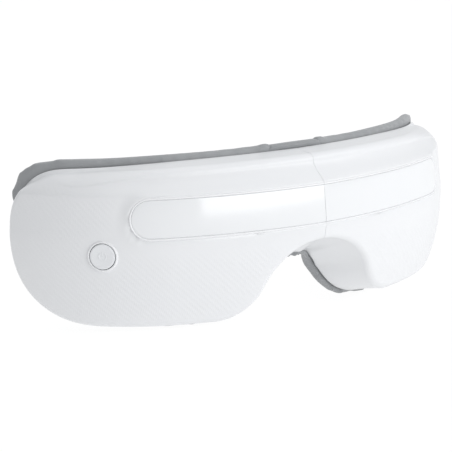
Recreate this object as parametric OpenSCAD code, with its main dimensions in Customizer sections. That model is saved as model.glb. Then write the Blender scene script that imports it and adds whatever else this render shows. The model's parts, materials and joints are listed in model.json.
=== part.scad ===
// Folding eye massager mask: two curved pods joined by a vertical hinge above the nose.
// Each pod is described on an unrolled sheet: s runs along the front from the centre seam to
// the temple, z runs up from the lower edge of the glossy band, and b runs inward to the face.
// Everything is drawn for one side and mirrored, then moved so that the origin lies on the
// ground under the middle of the mask. +Y points to the wearer's face and +Z points up.

/* [Plan curve] */
// Radius of the brow stretch of the front, seen from above
brow_r = 160; // [157:1:163]
// Length of the brow stretch on each side of the seam
brow_arc = 60; // [59:0.1:61]
// Radius of the temple stretch of the front
temple_r = 81; // [80:0.5:82]
// Length of the front from the seam to the temple tip
half_len = 131.3; // [130:0.1:132]
// Angle between each half and a straight line across the seam
seam_angle = 1.6; // [0:0.1:2]

/* [Outline] */
// Height of the top edge above the lower edge of the band
top_z = 26.8; // [26:0.1:28]
// Fall of the top edge towards the temple
top_drop = 4; // [3:0.1:5]
// Height of the lowest edge of each pod
bottom_z = -35; // [-36:0.5:-34]
// Height of the temple tip
tip_z = 2.4; // [1:0.1:4]
// Height of the top of the nose arch
arch_z = -6; // [-7:0.1:-5]
// Radius of the nose arch
arch_r = 28; // [27:0.5:29]
// Radius of the lobe beside the nose arch
lobe_r = 22; // [21:0.5:23]

/* [Depth] */
// Depth of the pod at its top edge
top_depth = 17.6; // [17:0.1:18.5]
// Extra depth for each millimetre down the pod
rear_tilt = 0.242; // [0.22:0.01:0.26]
// Share of the depth that is lost at the temple tip
temple_taper = 0.66; // [0.6:0.01:0.68]
// Thickness of the shell walls
wall = 2.2; // [2:0.1:2.4]
// Radius of the lower front edge
edge_r = 3; // [2.5:0.5:4]
// Height of the face cushion behind the pod
pad_depth = 8; // [6:0.5:9]
// Width by which the cushion stands out around the pod
pad_proud = 2.2; // [1.5:0.1:2.6]

/* [Band] */
// Height of the glossy band with its raised frame
band_h = 16.8; // [15:0.1:18]
// Length of the band from the seam to its round end
band_len = 78.9; // [74:0.1:80]
// Width of the raised frame of the band
frame_w = 1.3; // [1:0.1:1.6]
// Height of the raised frame above the shell
frame_proud = 1.2; // [0.8:0.1:1.4]

/* [Button] */
// Radius of the power button
button_r = 5; // [4.5:0.1:5.2]
// Distance of the button from the seam along the front
button_s = 89; // [88:0.5:91]
// Height of the button's centre
button_z = -5.4; // [-7:0.1:-4]

/* [Hinge] */
// Distance of the hinge pin behind the front at the seam
hinge_y = 19; // [18.8:0.1:19.4]
// Radius of the hinge pin
pin_r = 1.4; // [1.2:0.1:1.5]

/* [Hidden] */
$fn = 48;

// Small gaps
seam_gap = 0.15;
fit_gap = 0.15;
run_gap = 0.05;

// Outline arcs
arch_c = arch_z - arch_r;
lobe_z = bottom_z + lobe_r;
lobe_s = sqrt(pow(arch_r + lobe_r, 2) - pow(lobe_z - arch_c, 2));
low_corner_s = half_len - 40;
high_corner_s = half_len - 24;
corner_power = 2.5;

// Front profile
band_lean = 1.4;
brow_depth = 6.7;
belly_depth = 6.7;
belly_power = 2.4;
tip_r = 4;
cove_depth = 0.8;
cove_h = 5;
seam_blend = 40;

// Back profile
low_flare = 2.4;
arch_sink = 5.6;
drop_full_s = 16;
drop_end_s = 44;
high_flare = 1;
taper_s = 50;
shell_relief = 0.6;
cheek_slope = 0.75;
pad_relief = 0.95;
plate_t = 2.6;
plate_inset = 3.1;
plate_gap = 0.6;
pad_gap = 0.7;
pad_start_s = 11.6;
flap_start_s = 2.6;
flap_top_z = 6;
flap_t = 4;
pad_corner_s = half_len - 21;
pad_end_s = half_len + 6.5;
pad_power = 3;
pad_crown = 0.9;
pad_fall = 2.3;

// Opening of the face cushion
eye_s = 66;
eye_z = -3;
eye_a = 46;
eye_b = 19.5;

// Below the eye opening the back of the pod falls away to clear the cheek
cheek_z = eye_z - eye_b;

// Hinge sizes
knuckle_r = 2.6;
barrel_gap = 0.7;
knuckle_gap = 0.1;
pin_head_w = 0.4;
pin_head_h = 0.8;
hinge_low = 8;
hinge_high = 23;
knuckle_low = 13;
knuckle_high = 18;
leaf_t = 1.4;
leaf_start = 3.1;
leaf_end = 9.4;
leaf_screw_x = 6.3;
leaf_screw_z = [10.6, 20.4];

// Screws
screw_r = 0.98;
pilot_r = 1.0;
pass_r = 1.3;
head_r = 2.0;
head_h = 1.1;
head_sink = 1.85;
seat_gap = 0.05;
screw_len = 7;
screw_root = 0.5;
leaf_screw_size = 0.85;
boss_r = 2.5;
boss_gap = 1.8;
leaf_boss_r = 2.4;
pilot_depth = 7;
housing_screw_at = [[26, 13], [50, -21], [93, -21], [113, 6]];

// Button and switch
ring_r = button_r + 0.8;
ring_top = -0.5;
ring_h = 3.6;
cap_top = -0.7;
cap_h = 2.2;
cap_stem_r = 2;
board_b = 10;
board_t = 1.2;
switch_h = 3.2;
switch_w = 6;
switch_bore = 2.6;
plunger_r = 1.6;
plunger_len = 2.2;
plunger_out = 1.4;
touch_gap = 0.02;

// Board, from the button's centre: corner and size; chips the same, one row each
board_corner = [-26.4, 0, -10.8];
board_size = [33.4, board_t, 23.8];
chips = [
    [[-24, 0, -5], [9, 1, 9]],
    [[-9, 0, -7], [5, 1.2, 6]],
    [[-25, 0, 7], [4, 1.5, 4]],
    [[-8, 0, 5], [7, 2, 5]]];

// Motors, pump and valve
motor_s = 62;
motor_z = -23;
motor_b = 14;
motor_r = 3.4;
motor_len = 12;
weight_r = 2.9;
weight_h = 4;
shaft_r = 0.5;
pump_s = 37;
pump_b = 11.9;
pump_head = [6.6, -18, 12];
pump_motor = [5.6, -6.5, 17];
pump_nozzle = [1.4, -20.5, 3];
pump_room = [5, -16.5, 6.5];
crank_shaft = [0.6, -11.5, 8];
crank_disc = [3.2, -12.2, 1.5];
crank_pin = [0.8, -15, 3];
crank_throw = 1.8;
valve_s = 40;
valve_z = 4;
valve_b = 13;
valve_size = [8, 8, 12];
valve_bore_r = 1.5;
battery_s = 72;
battery_z = -2;
battery_b = 9;
battery_size = [40, 6, 28];
battery_low = 13;
speaker_s = 103;
speaker_b = 6;
speaker_r = 6.5;
speaker_h = 2;
magnet_r = 4;
magnet_h = 1.6;
port_s = 88;
port_b = 14.5;
port_size = [9, 3.4, 7.6];
port_wall = 0.3;
port_rise = 1.6;
tube_s = 27.5;
tube_b = 12;
tube_r = 1.6;
tube_back = 2.4;
branch_len = 7;
anchor_s = 120;
anchor_z = 3;
post_w = 4;
post_h = 3;
post_z = [-12, 9];
bar_r = 1.6;
bar_len = 22;

// Colours
shell_white = [0.94, 0.95, 0.97];
band_white = [0.98, 0.98, 1.0];
cushion_grey = [0.60, 0.61, 0.63];
dark_grey = [0.25, 0.26, 0.28];
steel = [0.75, 0.76, 0.78];

// ---- The unrolled sheet ----

function heading(s) = seam_angle
    + (min(s, brow_arc) / brow_r + max(0, s - brow_arc) / temple_r) * 180 / PI;

function brow_point(s) = brow_r * [sin(heading(s)) - sin(seam_angle), cos(seam_angle) - cos(heading(s))];

function plan_point(s) = s < brow_arc
    ? brow_point(s)
    : brow_point(brow_arc)
        + temple_r * [sin(heading(s)) - sin(heading(brow_arc)), cos(heading(brow_arc)) - cos(heading(s))];

// Direction of the inward normal; it is square to the seam at the seam itself
function inward(s) = heading(s) - seam_angle * max(0, 1 - s / seam_blend);

function on_sheet(s, z, b) = let(p = plan_point(s), a = inward(s))
    [p.x - b * sin(a), p.y + b * cos(a), z];

// Quarter of a superellipse, used for the two temple corners
function corner(s, start, len, rise) =
    rise * pow(max(0, 1 - pow(max(0, s - start) / len, corner_power)), 1 / corner_power);

// Lower edge of the pod; inset t moves it into the pod
function low_edge(s, t = 0) =
    s < (arch_r + t) * lobe_s / (arch_r + lobe_r) ? arch_c + sqrt(pow(arch_r + t, 2) - s * s)
    : s < lobe_s ? lobe_z - sqrt(pow(lobe_r - t, 2) - pow(lobe_s - s, 2))
    : tip_z - corner(s, low_corner_s, half_len - t - low_corner_s, tip_z - bottom_z - t);

function top_line(s) = top_z - top_drop * pow(s / half_len, 2);

function high_edge(s, t = 0) =
    tip_z + corner(s, high_corner_s, half_len - t - high_corner_s, top_line(s) - t - tip_z);

// How far the back rim of the nose arch lies below its front edge, beyond the flare
function arch_drop(s) = s < drop_full_s ? arch_sink
    : s < drop_end_s ? arch_sink * pow(cos(90 * (s - drop_full_s) / (drop_end_s - drop_full_s)), 2) : 0;

// Depth of the front surface below the plan curve
function tip_round(s) = let(d = max(0, s - half_len + tip_r)) tip_r - sqrt(tip_r * tip_r - d * d);

function face(s, z) = tip_round(min(s, half_len - 0.3))
    + band_lean * max(0, min(z, band_h)) / band_h
    + (z > band_h ? brow_depth * (z - band_h) / (top_line(s) - band_h) : 0)
    + (z < 0 ? belly_depth * pow(z / bottom_z, belly_power) : 0);

// Depth of the pod's back plane
function rear(s, z) =
    min((top_depth + rear_tilt * (top_z + high_flare - z) - cheek_slope * max(0, cheek_z - z))
        * (1 - temple_taper * pow(max(0, s - taper_s) / (half_len - taper_s), 2)),
        top_depth + shell_relief * s);

// Nothing may reach further back than this, so that the two pods can fold
function fold_limit(s) = hinge_y - 1 + pad_relief * s;

// Stations along the pod, closer together at the arch, at the band's end and at the tip
function stations(start, end) = concat(
    [for (i = [0:11]) start + i * (lobe_s - start) / 12],
    [for (i = [0:5]) lobe_s + i * (low_corner_s - lobe_s) / 6],
    [for (i = [0:10]) low_corner_s + (end - low_corner_s) * sin(9 * i)]);

// ---- Solids from rings of points ----

function ring_side(n, base, next, flip, wrap) = [
    for (j = [0:n - (wrap ? 1 : 2)])
        let(a = base + j, d = base + (j + 1) % n, b = next + j, c = next + (j + 1) % n)
            each flip ? [[a, b, c], [a, c, d]] : [[a, d, c], [a, c, b]]];

// A solid through closed rings, flat at both ends
module lofted(rings) {
    n = len(rings[0]);
    m = len(rings);
    sides = [for (i = [0:m - 2]) each ring_side(n, i * n, (i + 1) * n, false, true)];
    first = [for (j = [n - 1:-1:0]) j];
    last = [for (j = [0:n - 1]) (m - 1) * n + j];
    polyhedron(points = [for (r = rings) each r], faces = concat(sides, [first, last]));
}

// A ring-shaped solid through closed rings
module looped(rings) {
    n = len(rings[0]);
    m = len(rings);
    polyhedron(points = [for (r = rings) each r],
        faces = [for (i = [0:m - 1]) each ring_side(n, i * n, ((i + 1) % m) * n, false, true)]);
}

// A cup between outer and inner open rings, open at the back
module cupped(outer, inner) {
    n = len(outer[0]);
    k = len(inner[0]);
    m = len(outer);
    base = n * m;
    out_sides = [for (i = [0:m - 2]) each ring_side(n, i * n, (i + 1) * n, false, false)];
    in_sides = [for (i = [0:m - 2]) each ring_side(k, base + i * k, base + (i + 1) * k, true, false)];
    caps = [
        [for (j = [n - 1:-1:0]) j],
        [for (j = [0:n - 1]) (m - 1) * n + j],
        [for (j = [0:k - 1]) base + j],
        [for (j = [k - 1:-1:0]) base + (m - 1) * k + j]];
    rim = [for (i = [0:m - 2])
        let(o = i * n, p = (i + 1) * n, q = base + i * k, r = base + (i + 1) * k)
            each [[o, p, r], [o, r, q],
                [p + n - 1, o + n - 1, q + k - 1], [p + n - 1, q + k - 1, r + k - 1]]];
    tip = (m - 1) * n;
    tip_in = base + (m - 1) * k;
    ends = [
        [n - 1, 0, base], [n - 1, base, base + k - 1],
        [tip, tip + n - 1, tip_in + k - 1], [tip, tip_in + k - 1, tip_in]];
    polyhedron(points = concat([for (r = outer) each r], [for (r = inner) each r]),
        faces = concat(out_sides, in_sides, caps, rim, ends));
}

// Slab between depths front(s, z) and back(s, z) for one station, given its four corners
function slab_ring(s, low, high, low_front, high_front, low_back, high_back) = [
    on_sheet(s, low, low_back), on_sheet(s, low, low_front),
    on_sheet(s, high, high_front), on_sheet(s, high, high_back)];

// ---- Placing ----

// Moves the mask so that the origin is under the middle of its bounding box
pad_inset = -(low_flare + pad_proud);
pad_floor = bottom_z + pad_inset;
back_y = max([for (ring = pad_rings()) for (point = ring) point.y]);
mid_y = (back_y - frame_proud) / 2;

module seated() translate([0, -mid_y, -pad_floor]) children();
module on_right() seated() children();
module on_left() seated() mirror([1, 0, 0]) children();

// Local frame on the sheet: x along the front, y inward, z up
module placed(s, z, b) translate(on_sheet(s, z, b)) rotate([0, 0, inward(s)]) children();

// A cylinder along the local inward direction
module inward_rod(r, len) rotate([-90, 0, 0]) cylinder(r = r, h = len);

// ---- Shells ----

// Height of the shell's lower back rim; it flares less where the shell is less tall
function low_rim(s, t, tall) = low_edge(s, t - low_flare * min(1, tall / 30)) - arch_drop(s);

function shell_outer(s) =
    let(lo = low_edge(s), hi = high_edge(s), tall = hi - lo, rim = low_rim(s, 0, tall),
        r = min(edge_r, 0.3 * tall, 0.8 * max(0.5, -lo)),
        cove = min(cove_h, 0.25 * tall),
        mid = lo + r + 0.5 * max(0, -lo - r),
        low_band = max(mid + 0.1 * tall, min(0, lo + 0.6 * tall)),
        high_band = max(low_band + 0.1 * tall, min(band_h, hi - cove - 0.1 * tall)))
    [
        on_sheet(s, rim, min(rear(s, lo), rear(s, rim))),
        on_sheet(s, lo, face(s, lo) + r),
        on_sheet(s, lo + 0.3 * r, face(s, lo) + 0.3 * r),
        on_sheet(s, lo + r, face(s, lo + r)),
        on_sheet(s, mid, face(s, mid)),
        on_sheet(s, low_band, face(s, low_band)),
        on_sheet(s, high_band, face(s, high_band)),
        on_sheet(s, hi - cove, face(s, hi - cove) + cove_depth * cove / cove_h),
        on_sheet(s, hi, face(s, hi)),
        on_sheet(s, high_edge(s, -high_flare), rear(s, hi))];

function shell_inner(s) =
    let(lo = low_edge(s, wall), hi = high_edge(s, wall), tall = hi - lo, rim = low_rim(s, wall, tall),
        r = min(edge_r, 0.3 * tall))
    [
        on_sheet(s, rim, min(rear(s, lo), rear(s, rim))),
        on_sheet(s, lo, face(s, lo) + r + wall),
        on_sheet(s, lo + r, face(s, lo + r) + wall),
        on_sheet(s, lo + 0.6 * tall, face(s, lo + 0.6 * tall) + wall + cove_depth),
        on_sheet(s, hi - 1, face(s, hi - 1) + wall + cove_depth),
        on_sheet(s, hi, face(s, hi) + wall + 1.5),
        on_sheet(s, high_edge(s, wall - high_flare), rear(s, hi))];

module shell_cup() {
    outer_s = stations(seam_gap, half_len - 0.3);
    inner_s = stations(seam_gap + wall, half_len - wall - 0.5);
    cupped([for (s = outer_s) shell_outer(s)], [for (s = inner_s) shell_inner(s)]);
}

// Room for the hinge barrel and its leaf at the back of the seam
module hinge_room() {
    translate([0, hinge_y, hinge_low - 1])
        cylinder(r = knuckle_r + barrel_gap, h = hinge_high - hinge_low + 2);
    translate([-1, hinge_y - leaf_t / 2 - 0.4, hinge_low - 1])
        cube([leaf_end + 2, 8, hinge_high - hinge_low + 2]);
}

module screw_bosses() {
    for (p = housing_screw_at)
        placed(p[0], p[1], face(p[0], p[1]) + wall / 2)
            inward_rod(boss_r, min(rear(p[0], p[1]), rear(p[0], p[1] - boss_r))
                - face(p[0], p[1]) - wall / 2 - plate_t - boss_gap);
    for (z = leaf_screw_z)
        translate([leaf_screw_x, face(leaf_screw_x, z) + 0.6 * wall, z])
            inward_rod(leaf_boss_r, hinge_y - leaf_t / 2 - seat_gap - face(leaf_screw_x, z) - 0.6 * wall);
}

module screw_pilots() {
    for (p = housing_screw_at)
        placed(p[0], p[1], rear(p[0], p[1]) - plate_t - pilot_depth)
            inward_rod(pilot_r, pilot_depth + 1);
    for (z = leaf_screw_z)
        translate([leaf_screw_x, hinge_y - leaf_t / 2 - pilot_depth, z])
            inward_rod(pilot_r, pilot_depth + 1);
}

module front_shell() {
    color(shell_white) difference() {
        union() {
            difference() {
                shell_cup();
                hinge_room();
            }
            screw_bosses();
        }
        screw_pilots();
    }
}

module left_front_shell() {
    color(shell_white) difference() {
        front_shell();
        placed(button_s, button_z, -2) inward_rod(ring_r + run_gap, 8);
        placed(port_s, bottom_z, port_b)
            translate([-port_size.x / 2 - port_wall, -port_size.y / 2 - port_wall, -3])
                cube([port_size.x + 2 * port_wall, port_size.y + 2 * port_wall, 13]);
    }
}

// ---- Glossy band ----

band_c = band_h / 2;
band_bend_s = band_len - band_c;

// Half height of a round-ended strip of half height r at station s
function strip_half(s, r) = sqrt(max(0.01, r * r - pow(max(0, s - band_bend_s), 2)));

module band() {
    r = band_c - frame_w - fit_gap;
    end = band_bend_s + r - 0.1;
    stops = concat([for (i = [0:9]) seam_gap + i * (band_bend_s - seam_gap) / 9],
        [for (i = [1:6]) band_bend_s + (end - band_bend_s) * sin(15 * i)]);
    color(band_white) lofted([for (s = stops)
        let(low = band_c - strip_half(s, r), high = band_c + strip_half(s, r))
            slab_ring(s, low, high, face(s, low) - frame_proud + 0.1, face(s, high) - frame_proud + 0.1,
                face(s, low) - fit_gap, face(s, high) - fit_gap)]);
}

// The raised frame follows the straight lower run, the round end and the straight upper run
module band_frame() {
    runs = 9;
    turns = 12;
    low_run = [for (i = [0:runs]) [seam_gap + i * (band_bend_s - seam_gap) / runs, 0, -1]];
    turn = [for (i = [1:turns - 1]) let(a = -90 + i * 180 / turns) [band_bend_s, cos(a), sin(a)]];
    high_run = [for (i = [runs:-1:0]) [seam_gap + i * (band_bend_s - seam_gap) / runs, 0, 1]];
    inner_r = band_c - frame_w;
    color(shell_white) lofted([for (q = concat(low_run, turn, high_run))
        let(so = q[0] + band_c * q[1], zo = band_c + band_c * q[2],
            si = q[0] + inner_r * q[1], zi = band_c + inner_r * q[2])
            [on_sheet(so, zo, face(so, zo) - fit_gap), on_sheet(so, zo, face(so, zo) - frame_proud),
                on_sheet(si, zi, face(si, zi) - frame_proud), on_sheet(si, zi, face(si, zi) - fit_gap)]]);
}

// ---- Back of the pod ----

// Cross-section of the rear plate at one station, with a corner at each height
function plate_ring(s, heights) = concat(
    [for (z = heights) on_sheet(s, z, rear(s, z) - plate_t - plate_gap)],
    [for (i = [len(heights) - 1:-1:0]) on_sheet(s, heights[i], rear(s, heights[i]) - plate_gap)]);

module rear_housing() {
    stops = stations(seam_gap + wall + 0.3, half_len - wall - 1.2);
    color(dark_grey) difference() {
        lofted([for (s = stops)
            let(lo = low_edge(s, plate_inset), hi = high_edge(s, plate_inset))
                plate_ring(s, [lo, max(cheek_z, 0.9 * lo + 0.1 * hi), hi])]);
        translate([-1, hinge_y - 8, hinge_low - 1]) cube([leaf_end + 1.4, 16, hinge_high - hinge_low + 2]);
        for (p = housing_screw_at) placed(p[0], p[1], rear(p[0], p[1])) {
            translate([0, -screw_len - 1, 0]) inward_rod(pass_r, screw_len + 5);
            translate([0, -head_sink - seat_gap, 0]) inward_rod(head_r + 0.3, 6);
        }
        placed(tube_s, 0, rear(tube_s, 0) - 6) inward_rod(2, 10);
    }
}

// Upper edge of the cushion; it stands out further as the shell falls towards the temple
function pad_top(s) = let(reach = max(0, s - pad_corner_s) / (pad_end_s - pad_corner_s))
    tip_z + (top_z + high_flare + pad_proud + pad_crown - pad_fall * s / half_len - tip_z)
        * pow(max(0, 1 - pow(reach, pad_power)), 1 / pad_power);

// Lower edge of the cushion
function pad_low(s) = s < low_corner_s ? low_edge(s, pad_inset) - arch_drop(s)
    : tip_z - corner(s, low_corner_s, pad_end_s - low_corner_s, tip_z - bottom_z - pad_inset);

function pad_outline() = concat(
    [for (i = [0:13]) let(s = pad_start_s + i * (low_corner_s - pad_start_s) / 14) [s, pad_low(s)]],
    [for (i = [0:9]) let(s = low_corner_s + (pad_end_s - 0.2 - low_corner_s) * sin(9.5 * i))
        [s, pad_low(s)]],
    [for (i = [9:-1:0]) let(s = high_corner_s - 14 + (pad_end_s - 0.2 - high_corner_s + 14) * sin(9.5 * i))
        [s, pad_top(s)]],
    [for (i = [9:-1:0]) let(s = pad_start_s + i * (high_corner_s - 14 - pad_start_s) / 10) [s, pad_top(s)]],
    [for (i = [6:-1:1]) let(low = pad_low(pad_start_s))
        [pad_start_s, low + i * (pad_top(pad_start_s) - low) / 7]]);

// Point of the eye opening that faces an outline point
function opening_point(p) = let(a = atan2((p[1] - eye_z) / eye_b, (p[0] - eye_s) / eye_a))
    [eye_s + eye_a * oval(cos(a)), eye_z + eye_b * oval(sin(a))];

function oval(c) = sign(c) * pow(abs(c), 2 / corner_power);

// Cross-sections of the cushion, one at each outline point
function pad_rings() = [for (p = pad_outline())
    let(q = opening_point(p), m = 0.7 * p + 0.3 * q, e = 0.85 * p + 0.15 * q)
        [on_sheet(p[0], p[1], rear(p[0], p[1]) + pad_gap),
            on_sheet(e[0], e[1], rear(e[0], e[1]) + pad_gap),
            on_sheet(q[0], q[1], rear(q[0], q[1]) + pad_gap),
            on_sheet(q[0], q[1], rear(q[0], q[1]) + 0.6 * pad_depth),
            on_sheet(m[0], m[1], min(rear(m[0], m[1]) + pad_depth, fold_limit(m[0]))),
            on_sheet(p[0], p[1], min(rear(p[0], p[1]) + 0.7 * pad_depth, fold_limit(p[0])))]];

module face_pad() {
    color(cushion_grey) difference() {
        looped(pad_rings());
        strap_posts(0.3, -1);
    }
}

module nose_flap() {
    end = pad_start_s - 0.4;
    color(cushion_grey) lofted([for (i = [0:4]) let(s = flap_start_s + i * (end - flap_start_s) / 4,
        low = pad_low(s))
        slab_ring(s, low, flap_top_z, rear(s, low) + pad_gap, rear(s, flap_top_z) + pad_gap,
            min(rear(s, low) + flap_t, fold_limit(s)), min(rear(s, flap_top_z) + flap_t, fold_limit(s)))]);
}

// Oval layers that fill the eye opening, from depth d0 to d1 behind the back plane
module eye_layer(shrink, d0, d1) {
    a = eye_a - shrink;
    b = eye_b - shrink;
    lofted([for (i = [-8:8]) let(s = eye_s + a * sin(11 * i),
        h = b * pow(1 - pow(abs(sin(11 * i)), corner_power), 1 / corner_power),
        low = eye_z - h, high = eye_z + h)
        slab_ring(s, low, high, rear(s, low) + d0, rear(s, high) + d0,
            rear(s, low) + d1, rear(s, high) + d1)]);
}

module airbag() color([0.8, 0.82, 0.84]) eye_layer(3.2, 0.2, 2.2);
module heater_film() color([0.85, 0.55, 0.2]) eye_layer(2.6, 2.4, 2.7);
module eye_cover() color(dark_grey) eye_layer(1.8, 2.9, 4.6);

// ---- Screws and hinge ----

module screw(shank) {
    inward_rod(head_r, head_h);
    translate([0, screw_root - shank, 0]) inward_rod(screw_r, shank);
}

module housing_screws() {
    color(steel) for (p = housing_screw_at)
        placed(p[0], p[1], rear(p[0], p[1]) - head_sink) screw(screw_len);
}

module hinge_screws() {
    color(steel) for (z = leaf_screw_z)
        translate([leaf_screw_x, hinge_y + leaf_t / 2 + run_gap, z])
            scale(leaf_screw_size) screw(screw_len);
}

// Leaf plate with a link to each knuckle; spans is a list of knuckle heights
module hinge_leaf(spans, bore) {
    color(steel) difference() {
        union() {
            translate([leaf_start, hinge_y - leaf_t / 2, hinge_low])
                cube([leaf_end - leaf_start, leaf_t, hinge_high - hinge_low]);
            for (k = spans) {
                translate([0, hinge_y, k[0]]) cylinder(r = knuckle_r, h = k[1] - k[0]);
                translate([0, hinge_y - leaf_t / 2, k[0]]) cube([leaf_start + 0.1, leaf_t, k[1] - k[0]]);
            }
        }
        translate([0, hinge_y, hinge_low - 1]) cylinder(r = bore, h = hinge_high - hinge_low + 2);
        for (z = leaf_screw_z) translate([leaf_screw_x, hinge_y - 3, z]) inward_rod(pass_r - 0.2, 6);
    }
}

module left_hinge_leaf() on_left()
    hinge_leaf([[hinge_low, knuckle_low - knuckle_gap], [knuckle_high + knuckle_gap, hinge_high]],
        pin_r + 0.01);
module right_hinge_leaf() on_right() hinge_leaf([[knuckle_low, knuckle_high]], pin_r + run_gap);

module hinge_pin() {
    color(steel) seated() translate([0, hinge_y, hinge_low - 0.6]) {
        cylinder(r = pin_r, h = hinge_high - hinge_low + 1);
        translate([0, 0, -pin_head_h / 2]) cylinder(r = pin_r + pin_head_w, h = pin_head_h);
    }
}

// ---- Power button ----

module power_button() {
    color(shell_white) on_left() placed(button_s, button_z, cap_top) {
        inward_rod(button_r, cap_h);
        inward_rod(cap_stem_r, board_b - switch_h - plunger_out - seat_gap - cap_top);
    }
}

module button_ring() {
    color(band_white) on_left() placed(button_s, button_z, ring_top) difference() {
        inward_rod(ring_r, ring_h);
        translate([0, -1, 0]) inward_rod(button_r + run_gap, 6);
    }
}

module button_switch() {
    color(dark_grey) on_left() placed(button_s, button_z, board_b - switch_h - touch_gap) difference() {
        translate([-switch_w / 2, 0, -switch_w / 2]) cube([switch_w, switch_h, switch_w]);
        translate([0, -1, 0]) inward_rod(plunger_r + run_gap, switch_bore);
    }
}

module switch_plunger() {
    color([0.9, 0.9, 0.9]) on_left() placed(button_s, button_z, board_b - switch_h - plunger_out)
        inward_rod(plunger_r, plunger_len);
}

module main_board() {
    color([0.1, 0.4, 0.2]) on_left() placed(button_s, button_z, board_b)
        translate(board_corner) cube(board_size);
}

module board_chips() {
    color([0.1, 0.1, 0.1]) on_left() placed(button_s, button_z, board_b + board_t + touch_gap)
        for (chip = chips) translate(chip[0]) cube(chip[1]);
}

module charging_port() {
    color(steel) on_left() placed(port_s, bottom_z + port_rise, port_b) difference() {
        translate([-port_size.x / 2, -port_size.y / 2, 0]) cube(port_size);
        translate([port_wall - port_size.x / 2, port_wall - port_size.y / 2, -1])
            cube([port_size.x - 2 * port_wall, port_size.y - 2 * port_wall, port_size.z - 0.2]);
    }
}

// ---- Motors, pump, valve, battery and speaker ----

module vibration_motor() {
    color(steel) placed(motor_s, motor_z, motor_b) rotate([0, 90, 0]) difference() {
        cylinder(r = motor_r, h = motor_len);
        translate([0, 0, -1]) cylinder(r = shaft_r + run_gap, h = 6);
    }
}

// Off-centre weight on the motor's shaft
module motor_weight() {
    color([0.6, 0.5, 0.3]) placed(motor_s, motor_z, motor_b) rotate([0, 90, 0]) {
        translate([0, 0, -weight_h - 0.6]) cylinder(r = shaft_r, h = 9);
        translate([0, 0, -weight_h - 0.4]) linear_extrude(weight_h) intersection() {
            circle(r = weight_r);
            translate([-weight_r, -0.8]) square([2 * weight_r, 2 * weight_r]);
        }
    }
}

module air_valve() {
    color(steel) on_left() placed(valve_s, valve_z, valve_b) difference() {
        translate(-valve_size / 2) cube(valve_size);
        translate([0, 0, -7]) cylinder(r = valve_bore_r + run_gap, h = 10);
    }
}

module valve_plunger() {
    color([0.9, 0.9, 0.9]) on_left() placed(valve_s, valve_z, valve_b)
        translate([0, 0, -8]) cylinder(r = valve_bore_r, h = 9.5);
}

// An upright cylinder given as [radius, height of its foot, length]
module upright(drum) translate([0, 0, drum[1]]) cylinder(r = drum[0], h = drum[2]);

module air_pump() {
    color(steel) on_right() placed(pump_s, 0, pump_b) difference() {
        for (drum = [pump_head, pump_motor, pump_nozzle]) upright(drum);
        upright(pump_room);
        upright(crank_shaft + [run_gap, 0.5, 0]);
    }
}

module pump_crank() {
    color([0.85, 0.7, 0.3]) on_right() placed(pump_s, 0, pump_b) {
        upright(crank_shaft);
        upright(crank_disc);
        translate([crank_throw, 0, 0]) upright(crank_pin);
    }
}

// Short tee that feeds the airbag through the housing
module air_tube() {
    color([0.85, 0.87, 0.9]) placed(tube_s, 0, tube_b) difference() {
        union() {
            translate([0, -tube_back, 0]) inward_rod(tube_r, rear(tube_s, 0) - tube_b + 2.2);
            rotate([0, -90, 0]) cylinder(r = 0.85 * tube_r, h = branch_len);
        }
        translate([0, -1, 0]) inward_rod(0.55 * tube_r, 30);
        rotate([0, -90, 0]) cylinder(r = 0.4 * tube_r, h = branch_len + 1);
    }
}

module battery() {
    color([0.55, 0.65, 0.75]) on_right() placed(battery_s, battery_z, battery_b)
        translate([-battery_size.x / 2, 0, -battery_low]) cube(battery_size);
}

module speaker() {
    color(dark_grey) on_right() placed(speaker_s, 0, speaker_b) {
        inward_rod(speaker_r, speaker_h);
        translate([0, speaker_h - 0.1, 0]) inward_rod(magnet_r, magnet_h);
    }
}

// ---- Strap anchors ----

module strap_posts(grow, start) {
    placed(anchor_s, anchor_z, rear(anchor_s, anchor_z)) for (z = post_z)
        translate([-post_w / 2 - grow, start, z - grow])
            cube([post_w + 2 * grow, pad_depth + 5 - start, post_h + 2 * grow]);
}

module strap_anchor() {
    color(dark_grey) {
        strap_posts(0, 1.7);
        placed(anchor_s, anchor_z, rear(anchor_s, anchor_z)) translate([0, pad_depth + 3, 0])
            cylinder(r = bar_r, h = bar_len, center = true);
    }
}

on_left() left_front_shell();
on_right() front_shell();  // right_front_shell
on_left() band_frame();  // left_band_frame
on_right() band_frame();  // right_band_frame
on_left() band();  // left_band
on_right() band();  // right_band
on_left() rear_housing();  // left_rear_housing
on_right() rear_housing();  // right_rear_housing
on_left() face_pad();  // left_face_pad
on_right() face_pad();  // right_face_pad
on_left() nose_flap();  // left_nose_flap
on_right() nose_flap();  // right_nose_flap
on_left() airbag();  // left_airbag
on_right() airbag();  // right_airbag
on_left() heater_film();  // left_heater_film
on_right() heater_film();  // right_heater_film
on_left() eye_cover();  // left_eye_cover
on_right() eye_cover();  // right_eye_cover
on_left() housing_screws();  // left_housing_screws
on_right() housing_screws();  // right_housing_screws
left_hinge_leaf();
right_hinge_leaf();
hinge_pin();
on_left() hinge_screws();  // left_hinge_screws
on_right() hinge_screws();  // right_hinge_screws
power_button();
button_ring();
button_switch();
switch_plunger();
main_board();
board_chips();
charging_port();
on_left() vibration_motor();  // left_vibration_motor
on_right() vibration_motor();  // right_vibration_motor
on_left() motor_weight();  // left_motor_weight
on_right() motor_weight();  // right_motor_weight
air_valve();
valve_plunger();
air_pump();
pump_crank();
on_left() air_tube();  // left_air_tube
on_right() air_tube();  // right_air_tube
battery();
speaker();
on_left() strap_anchor();  // left_strap_anchor
on_right() strap_anchor();  // right_strap_anchor
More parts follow.
